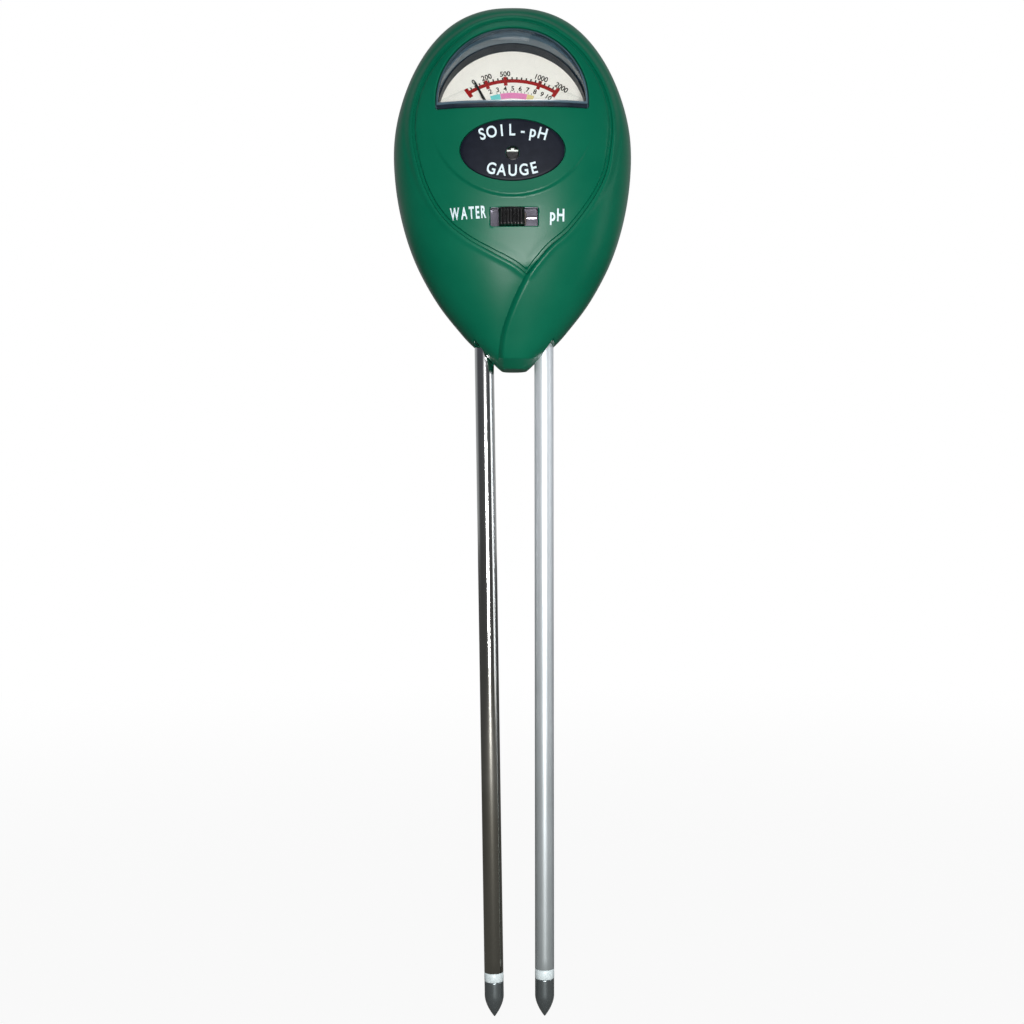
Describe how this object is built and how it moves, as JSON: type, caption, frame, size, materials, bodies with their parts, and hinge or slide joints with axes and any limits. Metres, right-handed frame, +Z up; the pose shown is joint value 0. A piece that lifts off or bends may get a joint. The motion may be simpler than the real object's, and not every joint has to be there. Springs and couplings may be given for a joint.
{
  "type": "soil moisture meter",
  "caption": "Hand-held two-way soil meter for moisture and pH: egg-shaped green head with arched dial window and slide switch on two pointed metal probes.",
  "frame": {"origin": "middle of the nose's flat underside, where the head stops on the soil, on the parting plane between the probes", "axes": "+Z up through the top of the head, the dial faces -Y, +X to the reader's right"},
  "size_m": [0.0668, 0.035, 0.2852],
  "materials": {
    "shell_green": "satin moulded ABS",
    "lens_clear": "clear polystyrene",
    "plastic_black": "glossy moulded black",
    "dial_print": "matt white print on aluminium",
    "needle_black": "matt black",
    "badge_navy": "satin navy black",
    "screw_steel": "plated steel",
    "soft_iron": "plain",
    "magnet_grey": "sintered",
    "brass_part": "plain",
    "copper_coil": "enamelled winding",
    "spring_bronze": "drawn strip",
    "knob_black": "satin black",
    "switch_tin": "tinned steel",
    "phenolic": "paper phenolic",
    "board_tan": "paper phenolic board",
    "resistor_tan": "lacquered",
    "probe_nickel": "bright plated",
    "probe_aluminium": "satin drawn",
    "tip_metal": "dark machined",
    "insulator_white": "translucent white",
    "rod_brass": "plain",
    "sleeve_clear": "polyethylene",
    "holder_grey": "moulded",
    "wire_red": "PVC",
    "wire_black": "PVC",
    "wire_white": "PVC"
  },
  "bodies": {
    "root": {"front_shell": "shell_green", "rear_shell": "shell_green", "window_lens": "lens_clear", "dial_surround": "plastic_black", "dial_plate": "dial_print", "badge": "badge_navy", "meter_base": "plastic_black", "flux_ring": "soft_iron", "core_magnet": "magnet_grey", "core_bracket": "brass_part", "front_bridge": "brass_part", "rear_bridge": "brass_part", "bridge_screws": "screw_steel", "jewel_screws": "brass_part", "hairspring_rear": "spring_bronze", "meter_screws": "screw_steel", "switch_frame": "switch_tin", "switch_base": "phenolic", "switch_terminals": "brass_part", "circuit_board": "board_tan", "board_screws": "screw_steel", "resistors": "resistor_tan", "probe_tube_left": "probe_nickel", "insulator_left": "insulator_white", "tip_left": "tip_metal", "core_rod_left": "rod_brass", "core_sleeve_left": "sleeve_clear", "tube_lug_left": "brass_part", "probe_tube_right": "probe_aluminium", "insulator_right": "insulator_white", "tip_right": "tip_metal", "core_rod_right": "rod_brass", "core_sleeve_right": "sleeve_clear", "tube_lug_right": "brass_part", "probe_holder": "holder_grey", "holder_screw": "screw_steel", "case_screws": "screw_steel", "wire_tube_left": "wire_red", "wire_tip_left": "wire_white", "wire_tube_right": "wire_black", "wire_tip_right": "wire_white", "meter_lugs": "brass_part", "wire_meter_minus": "wire_black", "wire_meter_plus": "wire_red"},
    "moving_system": {"needle": "needle_black", "balance_weights": "brass_part", "pivot_staff": "screw_steel", "moving_coil": "copper_coil"},
    "zero_lever_body": {"zero_lever": "brass_part", "hairspring_front": "spring_bronze"},
    "zero_screw_body": {"zero_adjust_screw": "knob_black"},
    "switch_slide": {"switch_knob": "knob_black", "switch_slider": "phenolic", "switch_contacts": "brass_part"}
  },
  "joints": [
    {"name": "needle_swing", "type": "hinge", "parent": "root", "child": "moving_system", "pos_m": [0, -0.00985, 0.05925], "axis": [0, 0.9744, -0.225], "range_deg": [-8, 60], "stiffness_Nm_per_rad": 0.00002},
    {"name": "zero_screw_turn", "type": "hinge", "parent": "root", "child": "zero_screw_body", "pos_m": [0, -0.0195, 0.0571], "axis": [0, 1, 0], "range_deg": [-40, 40]},
    {"name": "zero_lever_turn", "type": "hinge", "parent": "root", "child": "zero_lever_body", "pos_m": [0, -0.00985, 0.05925], "axis": [0, 0.9744, -0.225], "range_deg": [-9, 9]},
    {"name": "switch_travel", "type": "slide", "parent": "root", "child": "switch_slide", "axis": [1, 0, 0], "range_m": [0, 0.002]}
  ],
  "couplings": [
    {"joint": "zero_lever_turn", "follows": "zero_screw_turn", "ratio": 0.205}
  ]
}
